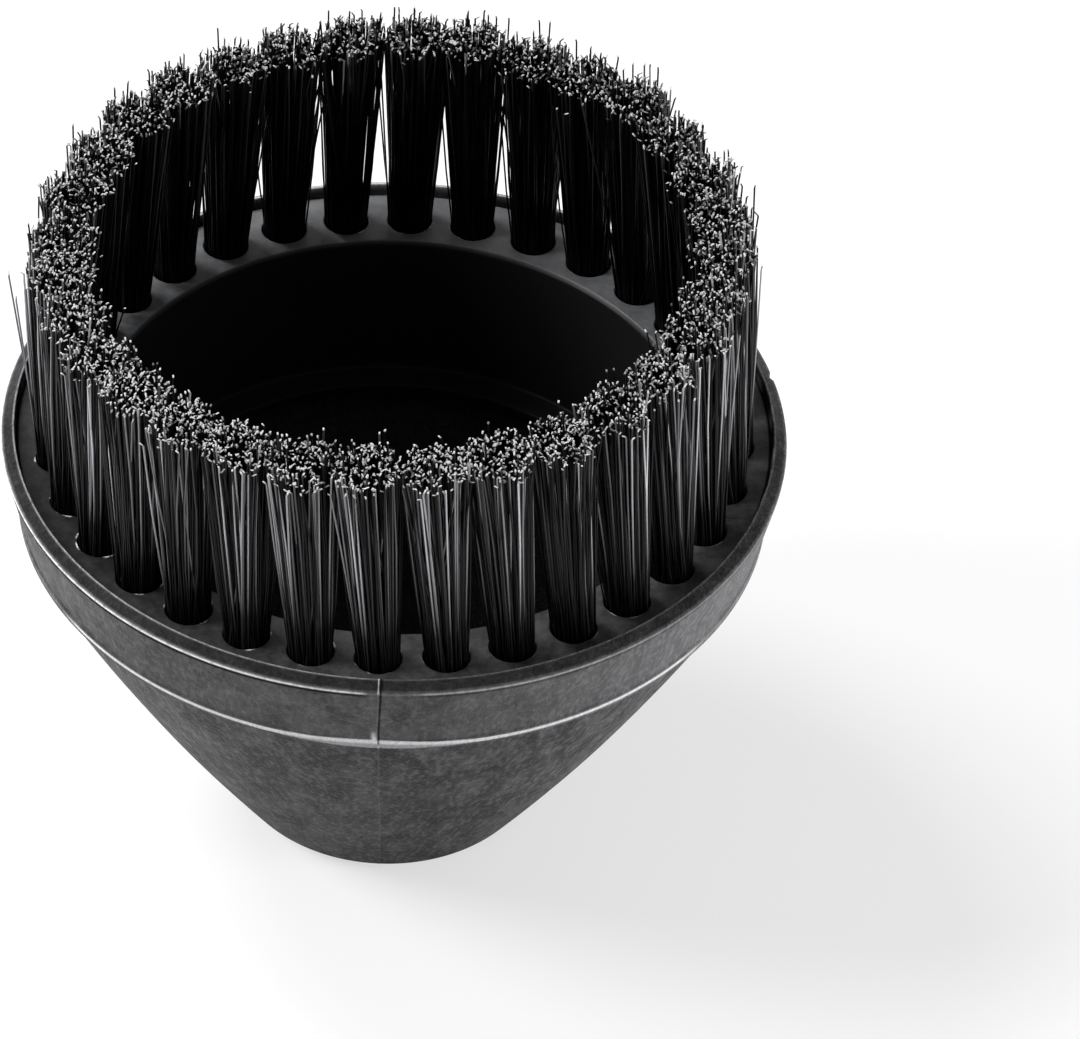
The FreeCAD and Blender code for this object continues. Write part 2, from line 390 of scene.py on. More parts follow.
def grid_quads(rows, columns, close_rows, close_columns, first=0):
    """The quads of a grid of points numbered row by row, wrapped round either way where it is closed."""
    row = np.arange(rows if close_rows else rows - 1)
    column = np.arange(columns if close_columns else columns - 1)
    below = (row + 1) % rows
    beside = (column + 1) % columns
    corners = [
        row[:, None] * columns + column,
        below[:, None] * columns + column,
        below[:, None] * columns + beside,
        row[:, None] * columns + beside,
    ]
    return first + np.stack(corners, axis=-1).reshape(-1, 4)


def fan(rim, middle):
    """Triangles from a closed row of points, given by their numbers, to one middle point."""
    return np.stack([rim, np.roll(rim, -1), np.full_like(rim, middle)], axis=-1)


def welded(points, faces):
    """The points with those that lie at the same place joined into one, and the faces renumbered."""
    _, kept, number = np.unique(
        np.round(points / SAME_POINT).astype(np.int64), axis=0, return_index=True, return_inverse=True
    )
    number = number.reshape(-1)
    return points[kept], [number[face] for face in faces], kept


def new_piece(name, points, faces, flat=(), **measures):
    """A mesh object at the origin from points and groups of faces.

    The groups of faces whose place is in flat keep their hard look, and the others are shaded smooth. A
    measure is a number or a vector for each point, which the piece's finish can read by its name.
    """
    sizes = np.concatenate([np.full(len(group), group.shape[1]) for group in faces])
    corners = np.concatenate([group.reshape(-1) for group in faces])
    smooth = np.concatenate([np.full(len(group), place not in flat) for place, group in enumerate(faces)])
    mesh = bpy.data.meshes.new(name)
    mesh.vertices.add(len(points))
    mesh.vertices.foreach_set("co", points.astype(np.float32).ravel())
    mesh.loops.add(len(corners))
    mesh.loops.foreach_set("vertex_index", corners.astype(np.int32))
    mesh.polygons.add(len(sizes))
    mesh.polygons.foreach_set("loop_start", (np.cumsum(sizes) - sizes).astype(np.int32))
    mesh.polygons.foreach_set("use_smooth", smooth)
    mesh.update(calc_edges=True)
    for measure, values in measures.items():
        is_vector = np.size(values) == 3 * len(points)
        kind, field = ("FLOAT_VECTOR", "vector") if is_vector else ("FLOAT", "value")
        attribute = mesh.attributes.new(measure, kind, "POINT")
        attribute.data.foreach_set(field, np.asarray(values, np.float32).ravel())
    if mesh.validate(verbose=False):
        raise RuntimeError("the mesh of %s had faces that Blender had to remove" % name)
    piece = bpy.data.objects.new(name, mesh)
    bpy.context.scene.collection.objects.link(piece)
    return piece


def hand_over(piece, finish, slot, *nodes):
    """Gives a piece its finish as its one material, and lets it ride in place of its CAD nodes; the slot is
    not used.
    """
    piece.data.materials.append(finish)
    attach(piece, BODY)
    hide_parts(*nodes)


# The shader's sockets as numbers


class Signal:
    """A socket that can be used in sums: each operator adds the Math node that works it out."""

    def __init__(self, tree, socket):
        self.tree = tree
        self.socket = socket

    def math(self, operation, *values, clamp=False):
        node = self.tree.nodes.new("ShaderNodeMath")
        node.operation = operation
        node.use_clamp = clamp
        for socket, value in zip(node.inputs, values):
            connect(self.tree, socket, value)
        return Signal(self.tree, node.outputs[0])

    def __add__(self, other):
        return self.math("ADD", self, other)

    def __radd__(self, other):
        return self.math("ADD", other, self)

    def __sub__(self, other):
        return self.math("SUBTRACT", self, other)

    def __rsub__(self, other):
        return self.math("SUBTRACT", other, self)

    def __mul__(self, other):
        return self.math("MULTIPLY", self, other)

    def __rmul__(self, other):
        return self.math("MULTIPLY", other, self)

    def __truediv__(self, other):
        return self.math("DIVIDE", self, other)

    def at_most(self, limit):
        return self.math("MINIMUM", self, limit)

    def either(self, other):
        return self.math("MAXIMUM", self, other)

    def above(self, level, softness):
        """0 below a level and 1 above it, rising over a width of softness."""
        return self.math("MULTIPLY_ADD", self, 1 / softness, 0.5 - level / softness, clamp=True)


def connect(tree, socket, value):
    """Links a signal to a socket, or writes a plain value into it."""
    if isinstance(value, Signal):
        tree.links.new(value.socket, socket)
    else:
        socket.default_value = value


class Finish:
    """A material, or the world's light, as it is put together."""

    def __init__(self, holder):
        holder.use_nodes = True
        self.holder = holder
        self.tree = holder.node_tree
        self.tree.nodes.clear()

    def node(self, kind, settings=None, values=None, output=0):
        """A node's output: its type, its settings, then the values or links of its sockets."""
        made = self.tree.nodes.new(kind)
        for setting, value in (settings or {}).items():
            setattr(made, setting, value)
        for socket, value in (values or {}).items():
            connect(self.tree, made.inputs[socket], value)
        return Signal(self.tree, made.outputs[output]) if made.outputs else None

    def place(self):
        """The point of the surface in the object's own coordinates."""
        return self.node("ShaderNodeTexCoord", output="Object")

    def noise(self, size, detail=2.0, roughness=0.5, place=None):
        """Soft noise from 0 to 1, with spots of about this size."""
        place = place or self.place()
        values = {"Vector": place, "Scale": 1 / size, "Detail": detail, "Roughness": roughness}
        return self.node("ShaderNodeTexNoise", values=values, output="Fac")

    def measure(self, name, output="Fac"):
        """A number, or a vector, that the mesh carries at each point."""
        return self.node("ShaderNodeAttribute", {"attribute_name": name}, output=output)

    def blend(self, share, first, second):
        """A colour between two others."""
        ends = [colour if isinstance(colour, Signal) else (*colour, 1.0) for colour in (first, second)]
        values = {0: share, 6: ends[0], 7: ends[1]}
        return self.node("ShaderNodeMix", {"data_type": "RGBA"}, values, output=2)

    def seen(self, mirrored=1.0):
        """1 for what the camera sees straight on or through glass, a share in reflections, 0 otherwise."""
        camera, glossy, through = (
            self.node("ShaderNodeLightPath", output="Is %s Ray" % kind)
            for kind in ("Camera", "Glossy", "Transmission")
        )
        return camera.either(through).either(glossy * mirrored)

    def bump(self, height, depth):
        """A normal that follows a height from 0 to 1 over a real depth."""
        values = {"Strength": 1.0, "Distance": depth, "Height": height}
        return self.node("ShaderNodeBump", values=values)

    def surface(self, matte=None, **values):
        """Ends the material with the main shader, whose sockets are named with underscores for spaces.

        The matte share mixes in the same shader without its gloss.
        """
        named = {name.replace("_", " "): value for name, value in values.items()}
        shader = self.node("ShaderNodeBsdfPrincipled", values=named)
        if matte is not None:
            dull = {**named, "Roughness": 1.0, "Specular IOR Level": 0.0}
            dull = self.node("ShaderNodeBsdfPrincipled", values=dull)
            shader = self.node("ShaderNodeMixShader", values={0: matte, 1: shader, 2: dull})
        self.node("ShaderNodeOutputMaterial", values={"Surface": shader})
        return self.holder


def shades(colour, factor):
    """A colour made lighter or darker by a factor."""
    return tuple(channel * factor for channel in colour)


def bell_finish(colour):
    """Black plastic from a spark-eroded mould: fine grain and faint clouds, painted light paler at the right,
    painted highlights as pale lines on the lip's edges, the parting line and the step, and painted shade.
    """
    finish = Finish(bpy.data.materials.new("grained_black_plastic"))
    skin = finish.measure("skin", output="Vector")
    grain = finish.noise(0.3 * MM, detail=3.0, roughness=0.65, place=skin).above(0.5, 0.34)
    speck = finish.noise(0.7 * MM, detail=2.0, place=skin).above(0.56, 0.22)
    clouds = finish.noise(3.2 * MM, detail=4.0, roughness=0.62, place=skin).above(0.5, 0.36)
    broken = finish.noise(1.1 * MM, detail=3.0, roughness=0.7, place=skin).above(0.42, 0.3)
    depth = 0.9 + finish.measure("cone") * 1.6
    # Painted light makes the plastic paler at the right, here and in the blend below.
    tone = 0.5 + (grain * 0.3 + speck * 0.3 + clouds * 0.4 - 0.5) * depth + finish.measure("painted_right_light") * 0.2
    plain = finish.blend(tone, shades(colour, 0.3), shades(colour, 2.0))
    body = finish.blend(finish.measure("painted_right_light") * (0.16 + speck * 0.14), plain, shades(colour, 5.0))
    # Painted highlights: pale lines on the lip's edges and the parting line, then the pale strip along the
    # step.
    line = (finish.measure("pale") * (0.5 + broken * 0.7)).at_most(1.0)
    painted_edge_highlights = finish.blend(line, body, shades(colour, 13.0))
    strip = finish.measure("strip") * (0.7 + grain * 0.3)
    with_painted_step_highlight = finish.blend(strip, painted_edge_highlights, shades(colour, 12.5))
    # Painted shade in the grooves, on the lip's top, on the front of the band and the cone, and inside the
    # bell.
    shaded = finish.blend(finish.measure("painted_shade") * 0.95, with_painted_step_highlight, shades(colour, 0.08))
    roughness = 0.34 + grain * 0.14 + clouds * 0.08
    matte = (finish.measure("matte") + (1 - clouds) * 0.34 + (1 - speck) * 0.14).at_most(1.0)
    normal = finish.bump(grain * 0.6 + speck * 0.7, 0.12 * MM)
    return finish.surface(
        matte, Base_Color=shaded, Roughness=roughness, Normal=normal, IOR=1.49, Specular_IOR_Level=0.15
    )


def ring_finish(colour):
    """Smoother black plastic with faint clouds and slivers of flash round the holes, their pale colour a
    painted glint.

    Painted shade darkens it on the skirt and at both sides of the front, and painted light makes it paler at
    the back.
    """
    finish = Finish(bpy.data.materials.new("satin_black_plastic"))
    grain = finish.noise(0.3 * MM, detail=2.0)
    clouds = finish.noise(1.7 * MM, detail=4.0, roughness=0.65)
    broken = finish.noise(0.42 * MM, detail=2.0).above(0.5, 0.16)
    mottle = clouds.above(0.5, 0.3) * 0.7 + grain.above(0.5, 0.4) * 0.3
    body = finish.blend(mottle, shades(colour, 0.4), shades(colour, 1.7))
    # Painted shade on the skirt and at both sides of the front, and painted light at the back.
    painted_shade = finish.measure("painted_shade")
    lit = finish.blend(finish.measure("back") * 0.35, body, shades(colour, 5.0))
    shaded = finish.blend(painted_shade, lit, shades(colour, 0.14))
    # The flash is real, and its pale colour is a painted glint.
    flash = finish.measure("flash").above(0.22, 0.22) * (0.25 + broken * 0.75)
    tone = finish.blend(flash, shaded, shades(colour, 12.0))
    roughness = 0.3 + clouds * 0.16 + grain * 0.06
    normal = finish.bump(grain * 0.4 + clouds * 0.6, 0.03 * MM)
    return finish.surface(painted_shade * 0.85, Base_Color=tone, Roughness=roughness, Normal=normal, IOR=1.49)


def bristle_finish(colour, cut_end):
    """Black nylon: painted highlights make some bristles gleam, with painted shade towards the root, and many
    have a cut end painted pale as a highlight.

    Painted light makes fewer of the ends pale at the back of the brush, and more of the bristles gleam at its
    sides.
    """
    finish = Finish(bpy.data.materials.new("black_nylon_bristle"))
    shade = finish.measure("shade")
    gleam = finish.measure("gleam")
    rise = finish.measure("rise").above(0.4, 0.45)
    across, along = (
        finish.node("ShaderNodeSeparateXYZ", values={0: finish.place()}, output=axis) / BELL_HIGH.x
        for axis in "XY"
    )
    # Painted light on the cut ends: fewer are pale at the back and the right.
    painted_tip_light = 0.1 - along * 0.2 - across * 0.05
    # Painted light on the bristles: more gleam at the sides and the front, fewer at the back.
    painted_side_light = 0.56 - along * 0.2 + across * across * 0.6
    end = finish.measure("cut_end").above(0.4, 0.2)
    # Painted highlights along the gleaming bristles, with painted shade towards the root.
    rod = finish.blend(gleam * painted_side_light * (0.03 + rise * 0.97), shades(colour, 0.3), shades(colour, 115.0))
    # The pale cut ends are painted highlights.
    tip = finish.blend((shade + painted_tip_light).above(0.5, 0.56), shades(cut_end, 0.06), shades(cut_end, 0.8))
    roughness = 0.36 + shade * 0.12 + end * 0.2
    tone = finish.blend(end, rod, tip)
    return finish.surface(Base_Color=tone, Roughness=roughness, IOR=1.55, Specular_IOR_Level=0.12)


def wire_finish(colour):
    """Drawn steel wire with fine lengthwise scratches."""
    finish = Finish(bpy.data.materials.new("drawn_wire"))
    stretched = finish.node(
        "ShaderNodeMapping", values={"Vector": finish.place(), "Scale": (1.0, 1.0, 0.08)}
    )
    scratches = finish.noise(0.06 * MM, detail=2.0, place=stretched)
    tone = finish.blend(scratches, shades(colour, 0.75), colour)
    return finish.surface(Base_Color=tone, Metallic=1.0, Roughness=0.3 + scratches * 0.2)


# The moulded bell


class ConeSide:
    """The bowed side of the cone, an arc through its top, its foot and a point bowed out between them."""

    def __init__(self, sizes):
        self.top_z = BELL_HIGH.z - sizes.lip_drop - sizes.band_height - sizes.step_height
        top = np.array([BELL_HIGH.x - sizes.band_taper - sizes.cone_inset, self.top_z])
        foot = np.array([SOCKET_RADIUS + sizes.end_wall, 0.0])
        chord = top - foot
        length = np.linalg.norm(chord)
        out = np.array([chord[1], -chord[0]]) / length
        self.radius = length ** 2 / (8 * sizes.cone_bulge) + sizes.cone_bulge / 2
        self.centre = foot + chord / 2 + out * (sizes.cone_bulge - self.radius)

    def at(self, height, inset=0.0):
        """The side's distance from the axis at each height, taken inwards by a wall."""
        rise = height - self.centre[1]
        return self.centre[0] + np.sqrt((self.radius - inset) ** 2 - rise ** 2)

    def height_at(self, radius, inset):
        """The height at which the side, taken inwards by a wall, has this distance from the axis."""
        run = radius - self.centre[0]
        return self.centre[1] - math.sqrt((self.radius - inset) ** 2 - run ** 2)

    def stretch(self, start, end, inset=0.0, count=30):
        """Points along the side between two heights."""
        heights = np.linspace(start, end, count)
        return np.stack([self.at(heights, inset), heights], axis=1)

    def end_round(self, radius, count=14):
        """The round from the side to the flat end, tangent to both: its centre is one radius inside each."""
        middle = np.array([self.at(radius, radius), radius])
        way = middle - self.centre
        angle = np.linspace(math.atan2(way[1], way[0]), -math.pi / 2, count)
        return middle + radius * np.stack([np.cos(angle), np.sin(angle)], axis=1)


def mouth_radius(sizes, height):
    """The inner radius of the bell's mouth, which follows the band's taper below the lip."""
    edge = BELL_HIGH.z - sizes.lip_drop
    return BELL_HIGH.x - sizes.band_taper * (edge - min(height, edge)) / sizes.band_height - sizes.lip_width


RING_TOP = RING_HIGH.z
SKIRT_FOOT = RING_LOW.z
HOLE_FLOOR = TUFT_LOW.z


def bell_outline(sizes, seat_z):
    """The bell's section as corners and their radii, from the lip's inner edge down the outside, round the
    socket's end and up the inside, and how many of them are outside."""
    side = ConeSide(sizes)
    lip_z = BELL_HIGH.z - sizes.lip_drop
    band_z = lip_z - sizes.band_height
    foot_r = BELL_HIGH.x - sizes.band_taper
    step_r = foot_r + sizes.step_proud
    sleeve_r = SOCKET_RADIUS + sizes.sleeve_wall
    trough_r = sleeve_r + sizes.trough_foot
    trough_z = side.height_at(trough_r, sizes.wall)
    stop_r = SOCKET_RADIUS - sizes.stop_width
    stop_z = sizes.sleeve_height - sizes.stop_height
    upper = [
        (BELL_HIGH.x - sizes.lip_width, BELL_HIGH.z, 0.16 * MM),
        (BELL_HIGH.x - 0.5 * sizes.lip_width, BELL_HIGH.z - 0.5 * sizes.lip_drop, 0.0),
        (BELL_HIGH.x, lip_z, 0.28 * MM),
        (BELL_HIGH.x - 0.8 * MM * sizes.band_taper / sizes.band_height, lip_z - 0.8 * MM, 0.0),
        (foot_r, band_z, 0.10 * MM),
        (step_r, band_z - sizes.step_proud, 0.16 * MM),
        (step_r, side.top_z, 0.2 * MM),
        (foot_r - sizes.cone_inset, side.top_z, 0.05 * MM),
    ]
    lower = [(SOCKET_RADIUS + sizes.lead_in, 0.0, 0.08 * MM)]
    sleeve = [
        (SOCKET_RADIUS, sizes.lead_in, 0.2 * MM),
        (SOCKET_RADIUS, stop_z, 0.1 * MM),
        (stop_r, stop_z, 0.1 * MM),
        (stop_r, sizes.sleeve_height, 0.25 * MM),
        (sleeve_r, sizes.sleeve_height, 0.25 * MM),
        (sleeve_r, trough_z, 0.6 * MM),
        (trough_r, trough_z, 0.6 * MM),
    ]
    wall_top = side.at(side.top_z, sizes.wall)
    mouth = [
        (wall_top, side.top_z, 0.0),
        (wall_top, seat_z, 0.1 * MM),
        (mouth_radius(sizes, seat_z), seat_z, 0.1 * MM),
        (mouth_radius(sizes, lip_z), lip_z, 0.0),
    ]
    end = side.end_round(sizes.end_round)
    outer_side = np.vstack([side.stretch(side.top_z, end[0, 1], count=34)[1:-1], end])
    inner_side = side.stretch(trough_z, side.top_z, sizes.wall, count=26)[1:-1]

    def plain(points):
        return np.column_stack([points, np.zeros(len(points))])

    outside = np.vstack([upper, plain(outer_side), lower])
    inside = np.vstack([sleeve, plain(inner_side), mouth])
    table = np.vstack([outside, inside])
    return table[:, :2], table[:, 2], len(outside)


SEAM_FAN = np.radians([0.03, 0.07, 0.12, 0.18, 0.25, 0.34, 0.45, 0.6, 0.8, 1.05, 1.35])
BELL_COLUMNS = 360
PROFILE_STEP = 2.0 * MM


def seamed_azimuths(sizes):
    """Even azimuths all round, with more of them close to each parting line."""
    even = np.linspace(-math.pi, math.pi, BELL_COLUMNS, endpoint=False)
    near = np.concatenate([-SEAM_FAN[::-1], [0.0], SEAM_FAN])
    seams = (sizes.seam_azimuth, sizes.seam_azimuth - math.pi)
    clear = np.min([np.abs(even - seam) for seam in seams], axis=0) > SEAM_FAN[-1] + 0.002
    return np.sort(np.concatenate([even[clear]] + [seam + near for seam in seams]))


def hump(distance, width):
    """A soft hump that is 1 at no distance and falls off over the width."""
    return np.exp(-((distance / width) ** 2))


def spot(across, up, place, half):
    """A soft hump on a surface, at a place across and up it, with a half width and a half height."""
    return hump(across - place[0], half[0]) * hump(up - place[1], half[1])


FINE_STEP = 0.13 * MM
SEAM_HALF = 0.09 * MM
GROOVE_PLACE, GROOVE_HALF = 0.27 * MM, 0.15 * MM
NOTCH_PLACE, NOTCH_HALF, NOTCH_DEPTH = (-0.42 * MM, 1.0 * MM), (0.3 * MM, 0.26 * MM), 0.25 * MM
PALE_SPOT_PLACE, PALE_SPOT_HALF = (-0.24 * MM, 0.66 * MM), (0.26 * MM, 0.16 * MM)
NICK_HALF, NICK_DEPTH = (0.5 * MM, 0.6 * MM), 0.35 * MM
LEVEL_FOOT = 2.0 * MM
LIP_GROOVE_DROP, LIP_GROOVE_HALF, LIP_GROOVE_DEPTH = 0.47 * MM, 0.23 * MM, 0.06 * MM
# The step's painted highlight: its half height, its gain at the front, and the azimuth in degrees where it
# ends.
STRIP_HALF, STRIP_FRONT_GAIN, STRIP_END = 0.2 * MM, 0.42 * MM, 58
# How strongly the painted highlights on the lip's two edges gleam, by azimuth in degrees
OUTER_GLEAM = ([-180, -130, -112, -60, -2.6, -1.2, 5.5, 6.5, 30, 45, 110, 180],
               [0.3, 0.3, 0.6, 1.0, 1.0, 0.08, 0.08, 0.4, 0.35, 0.12, 0.12, 0.3])
INNER_GLEAM = ([-180, -110, -60, -2, 1, 20, 60, 180], [0.3, 0.4, 0.55, 0.5, 0.2, 0.3, 0.2, 0.3])


def bell_surface(sizes, seat_z):
    """The bell as a turned outline with its parting lines and its nick.

    Each point is the outline's point turned by the column's azimuth, moved along the outline's normal. On the
    outside the move is h exp(-(s/w)^2) - g exp(-((s - d)/v)^2), a ridge of height h and half width w with a
    groove g beside it, where s is the distance round from the parting line, which wanders a little with the
    height. A notch sinks beside the line just above the step. The nick takes a small round bite out of the
    lip's edge, and a shallow groove runs below the lip. All this fades to nothing at the flat end.

    The points also carry painted highlights, on the parting line, the lip's edges and the step, painted shade
    and how matte, in the grooves, on the lip's top, at the front and inside, and painted light, at the right.
    Their place for the grain is (q sin a, -q cos a, l), where q is the root of the radius times the rim's and
    l is the length along the outline, shorter on the band and the cone, whose grain is drawn out downwards.
    """
    corners, radii, outside = bell_outline(sizes, seat_z)
    outline, owner = rounded(corners, radii)
    lip_z = BELL_HIGH.z - sizes.lip_drop
    step_z = lip_z - sizes.band_height - sizes.step_height / 2
    on_lip = outline[:, 1] > lip_z - 0.75 * MM
    fine = ((np.abs(outline[:, 1] - step_z) < sizes.step_height) | on_lip) & (owner < outside)
    outline, owner = divided(outline, owner, np.where(fine, FINE_STEP, PROFILE_STEP))
    normal = outward(outline)
    radius, height = outline[:, :1], outline[:, 1:]
    azimuth = seamed_azimuths(sizes)[None, :]
    is_outside = (owner < outside)[:, None]
    jog = np.where(height < step_z, math.radians(0.38), 0.0)
    wander = math.radians(0.13) * np.sin(height / (9.0 * MM))
    wander = wander + math.radians(0.05) * np.sin(height / (2.7 * MM))
    move = pale = painted_shade = matte = 0.0
    for seam in (sizes.seam_azimuth, sizes.seam_azimuth - math.pi):
        away = azimuth - seam
        azimuth = azimuth + (wander + jog) * hump(away, math.radians(5.0))
        round_way = (azimuth - seam - wander - jog) * radius
        ridge = hump(round_way, SEAM_HALF)
        groove = hump(round_way - GROOVE_PLACE, GROOVE_HALF)
        notch = spot(round_way, height - step_z, NOTCH_PLACE, NOTCH_HALF)
        move = move + sizes.seam_height * (ridge - 0.5 * groove) - NOTCH_DEPTH * notch
        # Painted highlight along the seam's ridge and a small pale spot beside it at the step; painted shade
        # in the seam's groove and notch.
        pale_spot = spot(round_way, height - step_z, PALE_SPOT_PLACE, PALE_SPOT_HALF)
        strength = np.where(height > step_z, 0.03, 0.1) + 0.6 * (height > lip_z)
        pale = pale + ridge * strength + 1.4 * pale_spot
        painted_shade = painted_shade + groove * (height > step_z) + notch
        matte = matte + groove * 0.9 * (height > step_z) + notch
    bite = spot((azimuth - sizes.nick_azimuth) * radius, height - lip_z, (0.0, 0.0), NICK_HALF)
    swell = 0.02 * MM * np.sin(3 * azimuth + height / (8 * MM)) * np.sin(height / (5 * MM))
    standing = np.clip(height / LEVEL_FOOT, 0, 1)
    move = np.where(is_outside, (move - NICK_DEPTH * bite + swell) * standing, 0.0)
    degrees = np.degrees(azimuth)
    outer = np.interp(degrees, *OUTER_GLEAM)
    below = outer ** 0.4 * hump(height - lip_z + LIP_GROOVE_DROP, LIP_GROOVE_HALF) * is_outside
    move = move - LIP_GROOVE_DEPTH * below
    points = turned(radius + normal[:, :1] * move, azimuth, height + normal[:, 1:] * move)
    inner = np.interp(degrees, *INNER_GLEAM)
    # The pale strip along the step is a painted highlight, widest at the front.
    front = hump(degrees, 11.0)
    half = STRIP_HALF + STRIP_FRONT_GAIN * front
    strip = np.clip((half - np.abs(height - step_z)) / (0.1 * MM) + 0.5, 0, 1)
    strip = strip * (1 - 0.6 * np.clip((step_z + half - height - 0.34 * MM) / (0.3 * MM), 0, 1))
    strip = strip * np.clip((STRIP_END - np.abs(degrees)) / 7, 0.1, 1)
    top = outline[np.argmax(outline[:, 1])]
    edge = np.hypot(radius - top[0], height - top[1])
    back = hump(180 - np.abs(degrees), 55.0)
    # Painted highlights on the lip's outer and inner edges, and painted shade in the groove below the lip.
    pale = pale + outer * hump(height - lip_z + 0.03 * MM, 0.11 * MM) + inner * hump(edge, 0.13 * MM)
    painted_shade = painted_shade + below
    # The lip's top gets painted light at the back and painted shade elsewhere.
    on_top = np.clip((height - lip_z - 0.2 * MM) / (0.1 * MM), 0, 1) * is_outside
    matte = (matte + below + 0.55 * on_top * (1 - back)) * (1 - np.clip(pale, 0, 1))
    pale = pale + 0.3 * on_top * back
    painted_shade = painted_shade + 0.75 * on_top * (1 - back)
    painted_shade = painted_shade * (1 - np.clip(pale, 0, 1))
    on_cone = is_outside * np.clip((step_z - 0.6 * MM - height) / (0.1 * MM), 0, 1)
    # Painted shade on the cone, most near the front, and on the front of the band.
    cone_dark = 0.22 + 0.46 * hump(degrees + 8, 48.0)
    band_dark = 0.3 * hump(degrees + 3, 42.0)
    painted_shade = np.maximum(painted_shade, on_cone * cone_dark + (1 - on_cone) * band_dark)
    on_band = is_outside * (height < lip_z) * (1 - on_cone)
    length = np.linalg.norm(np.diff(outline, axis=0, prepend=outline[:1]), axis=1)[:, None]
    shortened = (1 - 0.3 * on_band - 0.6 * on_cone).mean(axis=1, keepdims=True)
    drawn_out = np.cumsum(length * shortened, axis=0)
    measures = {
        "skin": turned(np.sqrt(radius * BELL_HIGH.x), azimuth, drawn_out),
        # Painted light: the band and the cone paler at the right.
        "painted_right_light": (on_band + 0.75 * on_cone) * hump(degrees - 62, 34.0),
        "matte": np.clip(matte, 0, 1),
        "pale": np.clip(pale * is_outside, 0, 1),
        "strip": strip * is_outside,
        "cone": np.broadcast_to(on_cone, strip.shape),
        # Painted shade: 0.6 all over the inside of the bell.
        "painted_shade": np.clip(np.where(is_outside, painted_shade, 0.6), 0, 1),
    }
    return points, measures


# The ring with its holes


def tuft_turn(index):
    """The turn about the axis from the first tuft's place to another's, for rows of x and y."""
    turn = index * TUFT_ANGLE
    return np.array([[math.cos(turn), math.sin(turn)], [-math.sin(turn), math.cos(turn)]])


ARC_SIDES = 16
FLANK_SIDES = 8
RIM_LEVELS = np.array([0.0, 0.05, 0.1, 0.16, 0.24, 0.36, 0.55]) * MM
OUTER_LEVELS = np.array([0.45, 0.94, 1.0])
RING_EDGE_ROUND = 0.25 * MM
FLASH_PLACE, FLASH_HALF, FLASH_WANDER = 0.07 * MM, 0.13 * MM, 0.06 * MM
RIM_DROP, RIM_REACH = 0.14 * MM, 0.05 * MM
# How much flash the holes have, with most of it at the front's left, by turns in radians; its pale colour is
# a painted glint
FLASH_LEAST, FLASH_GAIN, FLASH_MOST_AT, FLASH_MOST_HALF = 0.35, 0.95, -0.75, 0.55


def ring_outline(sizes, bell):
    """The ring's section below its top, from the outer edge down, round the skirt, up to the inner edge."""
    side = ConeSide(bell)
    inner = BELL_HIGH.x - bell.lip_width - sizes.width
    seat_z = RING_TOP - sizes.thickness
    foot = side.at(SKIRT_FOOT, bell.wall) - sizes.skirt_clearance
    foot_inner = foot - sizes.skirt_wall
    flange = foot_inner - sizes.flange_width
    flange_z = SKIRT_FOOT + sizes.flange_thickness
    table = np.array([
        (mouth_radius(bell, RING_TOP) - sizes.clearance - RING_EDGE_ROUND, RING_TOP, 0.0),
        (mouth_radius(bell, RING_TOP) - sizes.clearance, RING_TOP - RING_EDGE_ROUND, 0.1 * MM),
        (mouth_radius(bell, seat_z) - sizes.clearance, seat_z, 0.1 * MM),
        (inner + sizes.skirt_wall, seat_z, 0.3 * MM),
        (foot, SKIRT_FOOT, 0.2 * MM),
        (flange, SKIRT_FOOT, 0.2 * MM),
        (flange, flange_z - sizes.flange_slope, 0.25 * MM),
        (foot_inner, flange_z, 0.5 * MM),
        (inner, RING_TOP - sizes.edge_chamfer, 0.3 * MM),
        (inner + 0.75 * sizes.edge_chamfer, RING_TOP - 0.25 * sizes.edge_chamfer, 0.0),
        (inner + sizes.edge_chamfer, RING_TOP, 0.0),
    ])
    points, owner = rounded(table[:, :2], table[:, 2])
    return divided(points, owner, PROFILE_STEP, closed=False)[0]


def sector_border(inner, outer):
    """The closed border of one tuft's share of the ring's top, as radii and azimuths from its middle.

    It runs along the outer arc, in along one flank, back along the inner arc and out along the other flank.
    """
    turn = np.linspace(-0.5, 0.5, ARC_SIDES + 1) * TUFT_ANGLE
    reach = np.linspace(outer, inner, FLANK_SIDES + 1)
    radius = np.concatenate([
        np.full(ARC_SIDES, outer), reach[:-1], np.full(ARC_SIDES, inner), reach[:0:-1]
    ])
    azimuth = np.concatenate([
        turn[:-1], np.full(FLANK_SIDES, turn[-1]), turn[:0:-1], np.full(FLANK_SIDES, turn[0])
    ])
    return radius, azimuth


